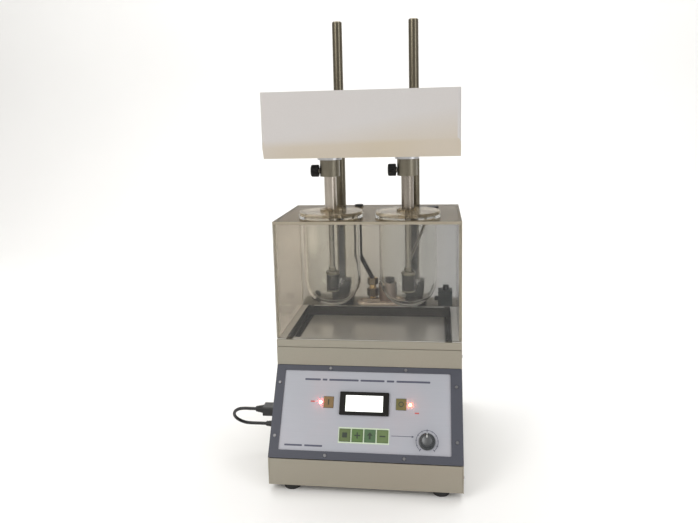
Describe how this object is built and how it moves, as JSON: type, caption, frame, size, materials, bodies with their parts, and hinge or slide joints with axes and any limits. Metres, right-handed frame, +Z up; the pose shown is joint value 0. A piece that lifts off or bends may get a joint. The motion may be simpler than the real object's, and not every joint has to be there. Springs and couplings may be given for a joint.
{
  "type": "dissolution tester",
  "caption": "Bench dissolution tester: sloped control cabinet, clear water bath with hanging vessels and lids, and a drive head on pillars that turns basket stirrers.",
  "frame": {"origin": "centre of the cabinet's footprint on the bench, under the feet", "axes": "+Z up, the control panel faces -Y, +X to the right seen from the front"},
  "size_m": [0.426, 0.3952, 0.822],
  "materials": {
    "cabinet": "satin",
    "bezel": "satin",
    "label": "matte",
    "dark_plastic": "matte",
    "display": "glossy",
    "board": "satin",
    "lamp": "glossy",
    "screw": "satin",
    "rubber": "matte",
    "supply": "matte",
    "cord": "satin",
    "polished_steel": "polished",
    "basin_steel": "satin",
    "clear_pane": "glossy",
    "vessel_glass": "glossy",
    "lid_clear": "glossy",
    "brass": "satin",
    "pump": "matte",
    "key_green": "satin",
    "key_olive": "satin",
    "knob": "satin",
    "head_paint": "satin",
    "aluminium": "satin",
    "motor": "satin",
    "bronze": "satin",
    "basket_steel": "satin"
  },
  "bodies": {
    "base": {"base_pan": "cabinet", "side_panels": "cabinet", "front_skirt": "cabinet", "front_apron": "cabinet", "rear_panel": "cabinet", "deck_cap": "cabinet", "panel_bezel": "bezel", "control_panel": "label", "display_bezel": "dark_plastic", "display_glass": "display", "control_board": "board", "indicator_lamps": "lamp", "panel_screws": "screw", "rubber_feet": "rubber", "power_supply": "supply", "mains_inlet": "dark_plastic", "side_socket": "dark_plastic", "lead": "cord", "lead_plug": "dark_plastic", "lead_gland": "dark_plastic", "pillars": "polished_steel", "pillar_blocks": "dark_plastic", "pillar_nuts": "screw", "bath_basin": "basin_steel", "wide_panes": "clear_pane", "side_panes": "clear_pane", "bath_cover": "clear_pane", "heater": "brass", "heater_conduit": "dark_plastic", "temperature_probe": "polished_steel", "circulation_pump": "pump"},
    "head": {"head_cover": "head_paint", "head_base": "aluminium", "drive_motor": "motor", "drive_belt": "rubber", "bearing_housings": "aluminium", "spindle_bushes": "bronze", "guide_bushes": "aluminium"},
    "stirrer_left": {"shaft_left": "polished_steel", "basket_left": "basket_steel"},
    "stirrer_right": {"shaft_right": "polished_steel", "basket_right": "basket_steel"},
    "power_switch": {"power_switch": "dark_plastic"},
    "key_1": {"key_1": "key_green"},
    "key_2": {"key_2": "key_green"},
    "key_3": {"key_3": "key_green"},
    "key_4": {"key_4": "key_green"},
    "key_left": {"key_left": "key_olive"},
    "key_right": {"key_right": "key_olive"},
    "speed_knob": {"speed_knob": "knob"},
    "vessel_left": {"vessel_left": "vessel_glass"},
    "vessel_right": {"vessel_right": "vessel_glass"},
    "lid_left": {"lid_left": "lid_clear"},
    "lid_right": {"lid_right": "lid_clear"},
    "motor_pulley": {"motor_pulley": "aluminium"},
    "spindle_left": {"spindle_left": "polished_steel"},
    "spindle_right": {"spindle_right": "polished_steel"},
    "thumbscrew_left": {"thumbscrew_left": "dark_plastic"},
    "thumbscrew_right": {"thumbscrew_right": "dark_plastic"},
    "head_lock_knob": {"head_lock_knob": "dark_plastic"}
  },
  "joints": [
    {"name": "head_lift", "type": "slide", "parent": "base", "child": "head", "axis": [0, 0, 1], "range_m": [0, 0.14]},
    {"name": "spindle_left_turn", "type": "hinge", "parent": "head", "child": "spindle_left", "pos_m": [-0.07, -0.035, 0.55], "axis": [0, 0, 1], "continuous": true},
    {"name": "spindle_right_turn", "type": "hinge", "parent": "head", "child": "spindle_right", "pos_m": [0.07, -0.035, 0.55], "axis": [0, 0, 1], "continuous": true},
    {"name": "motor_pulley_turn", "type": "hinge", "parent": "head", "child": "motor_pulley", "pos_m": [0, 0.07, 0.63], "axis": [0, 0, 1], "continuous": true},
    {"name": "shaft_left_slide", "type": "slide", "parent": "spindle_left", "child": "stirrer_left", "axis": [0, 0, 1], "range_m": [0, 0.03]},
    {"name": "thumbscrew_left_turn", "type": "hinge", "parent": "spindle_left", "child": "thumbscrew_left", "pos_m": [-0.07, -0.035, 0.536], "axis": [-1, 0, 0], "range_deg": [0, 180]},
    {"name": "shaft_right_slide", "type": "slide", "parent": "spindle_right", "child": "stirrer_right", "axis": [0, 0, 1], "range_m": [0, 0.03]},
    {"name": "thumbscrew_right_turn", "type": "hinge", "parent": "spindle_right", "child": "thumbscrew_right", "pos_m": [0.07, -0.035, 0.536], "axis": [-1, 0, 0], "range_deg": [0, 180]},
    {"name": "head_lock_turn", "type": "hinge", "parent": "head", "child": "head_lock_knob", "pos_m": [0.077, 0.145, 0.62], "axis": [0, 1, 0], "range_deg": [0, 180]},
    {"name": "vessel_left_lift", "type": "slide", "parent": "base", "child": "vessel_left", "axis": [0, 0, 1], "range_m": [0, 0.012]},
    {"name": "lid_left_lift", "type": "slide", "parent": "vessel_left", "child": "lid_left", "axis": [0, 0, 1], "range_m": [0, 0.035]},
    {"name": "vessel_right_lift", "type": "slide", "parent": "base", "child": "vessel_right", "axis": [0, 0, 1], "range_m": [0, 0.012]},
    {"name": "lid_right_lift", "type": "slide", "parent": "vessel_right", "child": "lid_right", "axis": [0, 0, 1], "range_m": [0, 0.035]},
    {"name": "key_1_press", "type": "slide", "parent": "base", "child": "key_1", "axis": [0, 0.8133, -0.5818], "range_m": [0, 0.001], "stiffness_N_per_m": 1500},
    {"name": "key_2_press", "type": "slide", "parent": "base", "child": "key_2", "axis": [0, 0.8133, -0.5818], "range_m": [0, 0.001], "stiffness_N_per_m": 1500},
    {"name": "key_3_press", "type": "slide", "parent": "base", "child": "key_3", "axis": [0, 0.8133, -0.5818], "range_m": [0, 0.001], "stiffness_N_per_m": 1500},
    {"name": "key_4_press", "type": "slide", "parent": "base", "child": "key_4", "axis": [0, 0.8133, -0.5818], "range_m": [0, 0.001], "stiffness_N_per_m": 1500},
    {"name": "key_left_press", "type": "slide", "parent": "base", "child": "key_left", "axis": [0, 0.8133, -0.5818], "range_m": [0, 0.001], "stiffness_N_per_m": 1500},
    {"name": "key_right_press", "type": "slide", "parent": "base", "child": "key_right", "axis": [0, 0.8133, -0.5818], "range_m": [0, 0.001], "stiffness_N_per_m": 1500},
    {"name": "speed_knob_turn", "type": "hinge", "parent": "base", "child": "speed_knob", "pos_m": [0.1048, -0.17812, 0.09319], "axis": [0, -0.8133, 0.5818], "range_deg": [-140, 140]},
    {"name": "power_switch_rock", "type": "hinge", "parent": "base", "child": "power_switch", "pos_m": [0.066, 0.191, 0.066], "axis": [-1, 0, 0], "range_deg": [0, 20]}
  ],
  "couplings": [
    {"joint": "spindle_right_turn", "follows": "spindle_left_turn", "ratio": 1},
    {"joint": "motor_pulley_turn", "follows": "spindle_left_turn", "ratio": 1.5714}
  ]
}
